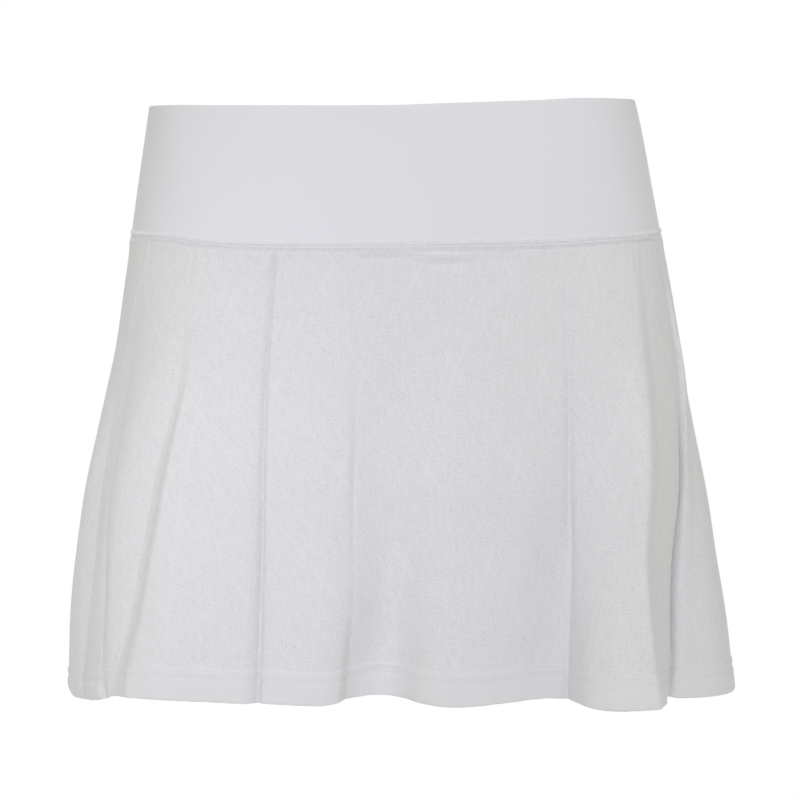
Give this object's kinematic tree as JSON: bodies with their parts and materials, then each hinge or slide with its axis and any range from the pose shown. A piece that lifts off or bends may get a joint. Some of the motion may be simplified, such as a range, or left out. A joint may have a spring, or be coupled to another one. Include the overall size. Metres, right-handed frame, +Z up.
{
  "type": "tennis skirt, worn shape without a wearer",
  "caption": "Flared knit tennis skirt with a wide smooth waistband, filled out as worn and open at the waist and hem.",
  "frame": {"origin": "middle of the waist opening, level with the waistband's top edge at the sides, where the wearer's waist holds the skirt", "axes": "+X to the right as seen from the front, +Y to the back (the front faces -Y), +Z up, out of the waist opening"},
  "size_m": [0.381, 0.2718, 0.3362],
  "materials": {
    "mesh_knit": "matt fine mesh jersey, white",
    "waistband_interlock": "smooth fine interlock jersey, white"
  },
  "bodies": {
    "root": {"skirt_front": "mesh_knit", "skirt_back": "mesh_knit", "waistband_front": "waistband_interlock", "waistband_back": "waistband_interlock"}
  },
  "joints": []
}
